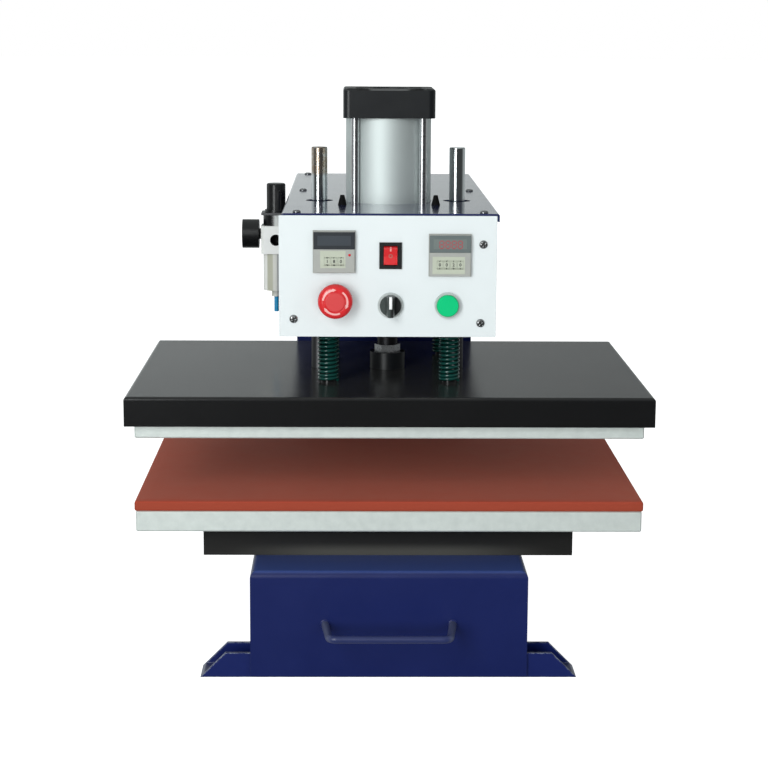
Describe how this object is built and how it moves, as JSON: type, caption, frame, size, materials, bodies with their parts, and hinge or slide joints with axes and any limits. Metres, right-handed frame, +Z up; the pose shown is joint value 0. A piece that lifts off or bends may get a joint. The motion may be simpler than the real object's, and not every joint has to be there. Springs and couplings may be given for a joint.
{
  "type": "slide-out heat press",
  "caption": "Pneumatic heat press with a slide-out lower platen, a covered heat plate driven down by an air cylinder, and a front control panel.",
  "frame": {"origin": "middle of the bounding box at the level of the bench", "axes": "+Z up, -Y towards the operator, +X to the operator's right"},
  "size_m": [0.622, 0.7404, 0.691],
  "materials": {
    "navy_paint": "gloss",
    "grey_blue_paint": "gloss",
    "black_paint": "satin",
    "cast_black": "matt",
    "plate_aluminium": "milled",
    "barrel_aluminium": "anodised satin",
    "machined_steel": "ground",
    "white_panel": "gloss",
    "hard_chrome": "polished",
    "zinc_screw": "zinc plated",
    "silicone_red": "matt",
    "insulation": "fibre board",
    "element_steel": "heat tinted",
    "spring_green": "gloss",
    "black_rubber": "matt",
    "black_plastic": "gloss",
    "grey_plastic": "matt",
    "cream_plastic": "matt",
    "white_plastic": "gloss",
    "red_plastic": "gloss",
    "green_plastic": "gloss",
    "zinc_ring": "satin",
    "clear_bowl": "clear",
    "blue_tube": "satin"
  },
  "bodies": {
    "base": {"base_frame": "navy_paint", "slide_rails": "machined_steel", "column": "navy_paint", "head_frame": "navy_paint", "cylinder_mount_plate": "machined_steel", "guide_bearings": "machined_steel", "cylinder_front_cap": "cast_black", "cylinder_barrel": "barrel_aluminium", "cylinder_rear_cap": "cast_black", "tie_rods": "zinc_screw", "head_housing": "navy_paint", "top_plate": "navy_paint", "housing_screws": "zinc_screw", "plate_plugs": "black_rubber", "control_panel": "white_panel", "thermostat": "grey_plastic", "timer": "grey_plastic", "emergency_stop_base": "black_plastic", "selector_base": "zinc_ring", "start_button_base": "zinc_ring", "rocker_bezel": "black_plastic", "regulator_body": "white_plastic", "regulator_bracket": "zinc_screw", "regulator_bonnet": "black_plastic", "pressure_gauge": "black_plastic", "filter_bowl": "clear_bowl", "drain_tube": "blue_tube", "solenoid_valve": "black_plastic", "cable_gland": "black_plastic", "return_springs": "spring_green"},
    "drawer": {"drawer_box": "navy_paint", "pull_handle": "grey_blue_paint", "slide_bearers": "navy_paint", "slide_carriages": "machined_steel", "carriage_frame": "black_paint", "lower_platen": "plate_aluminium", "silicone_pad": "silicone_red"},
    "press": {"heat_plate": "plate_aluminium", "heating_elements": "element_steel", "insulation_board": "insulation", "heat_cover": "black_paint", "press_boss": "cast_black", "rod_nut": "zinc_screw", "piston_rod": "hard_chrome", "piston": "plate_aluminium", "left_guide_rod": "hard_chrome", "right_guide_rod": "hard_chrome"},
    "emergency_stop_stem": {"emergency_stop_stem": "black_plastic"},
    "emergency_stop_head": {"emergency_stop_head": "red_plastic"},
    "start_button": {"start_button": "green_plastic"},
    "selector_knob": {"selector_knob": "black_plastic"},
    "rocker": {"rocker": "red_plastic"},
    "regulator_knob": {"regulator_knob": "black_plastic"},
    "thermostat_wheel_1": {"thermostat_wheel_1": "cream_plastic"},
    "thermostat_wheel_2": {"thermostat_wheel_2": "cream_plastic"},
    "thermostat_wheel_3": {"thermostat_wheel_3": "cream_plastic"},
    "timer_wheel_1": {"timer_wheel_1": "cream_plastic"},
    "timer_wheel_2": {"timer_wheel_2": "cream_plastic"},
    "timer_wheel_3": {"timer_wheel_3": "cream_plastic"},
    "timer_wheel_4": {"timer_wheel_4": "cream_plastic"}
  },
  "joints": [
    {"name": "drawer_slide", "type": "slide", "parent": "base", "child": "drawer", "axis": [0, -1, 0], "range_m": [0, 0.3]},
    {"name": "press_stroke", "type": "slide", "parent": "base", "child": "press", "axis": [0, 0, -1], "range_m": [0, 0.075], "stiffness_N_per_m": 4000, "springref_m": -0.1, "deforming": ["return_springs"]},
    {"name": "emergency_stop_push", "type": "slide", "parent": "base", "child": "emergency_stop_stem", "axis": [0, 1, 0], "range_m": [0, 0.004], "stiffness_N_per_m": 1500, "springref_m": -0.003},
    {"name": "emergency_stop_twist", "type": "hinge", "parent": "emergency_stop_stem", "child": "emergency_stop_head", "pos_m": [-0.0644, -0.26175, 0.4503], "axis": [0, 1, 0], "range_deg": [0, 40], "stiffness_Nm_per_rad": 0.05, "springref_deg": -11.46},
    {"name": "start_button_push", "type": "slide", "parent": "base", "child": "start_button", "axis": [0, 1, 0], "range_m": [0, 0.0025], "stiffness_N_per_m": 800, "springref_m": -0.0025},
    {"name": "selector_turn", "type": "hinge", "parent": "base", "child": "selector_knob", "pos_m": [0.0003, -0.26175, 0.4436], "axis": [0, 1, 0], "range_deg": [-45, 45]},
    {"name": "rocker_tip", "type": "hinge", "parent": "base", "child": "rocker", "pos_m": [0.0002, -0.25975, 0.5022], "axis": [-1, 0, 0], "range_deg": [0, 20]},
    {"name": "regulator_knob_turn", "type": "hinge", "parent": "base", "child": "regulator_knob", "pos_m": [-0.1457, 0.05025, 0.54], "axis": [0, 0, 1], "continuous": true},
    {"name": "thermostat_wheel_1_turn", "type": "hinge", "parent": "base", "child": "thermostat_wheel_1", "pos_m": [-0.0739, -0.25995, 0.4957], "axis": [1, 0, 0], "continuous": true},
    {"name": "thermostat_wheel_2_turn", "type": "hinge", "parent": "base", "child": "thermostat_wheel_2", "pos_m": [-0.0659, -0.25995, 0.4957], "axis": [1, 0, 0], "continuous": true},
    {"name": "thermostat_wheel_3_turn", "type": "hinge", "parent": "base", "child": "thermostat_wheel_3", "pos_m": [-0.0579, -0.25995, 0.4957], "axis": [1, 0, 0], "continuous": true},
    {"name": "timer_wheel_1_turn", "type": "hinge", "parent": "base", "child": "timer_wheel_1", "pos_m": [0.0578, -0.25995, 0.4921], "axis": [1, 0, 0], "continuous": true},
    {"name": "timer_wheel_2_turn", "type": "hinge", "parent": "base", "child": "timer_wheel_2", "pos_m": [0.0658, -0.25995, 0.4921], "axis": [1, 0, 0], "continuous": true},
    {"name": "timer_wheel_3_turn", "type": "hinge", "parent": "base", "child": "timer_wheel_3", "pos_m": [0.0738, -0.25995, 0.4921], "axis": [1, 0, 0], "continuous": true},
    {"name": "timer_wheel_4_turn", "type": "hinge", "parent": "base", "child": "timer_wheel_4", "pos_m": [0.0818, -0.25995, 0.4921], "axis": [1, 0, 0], "continuous": true}
  ]
}
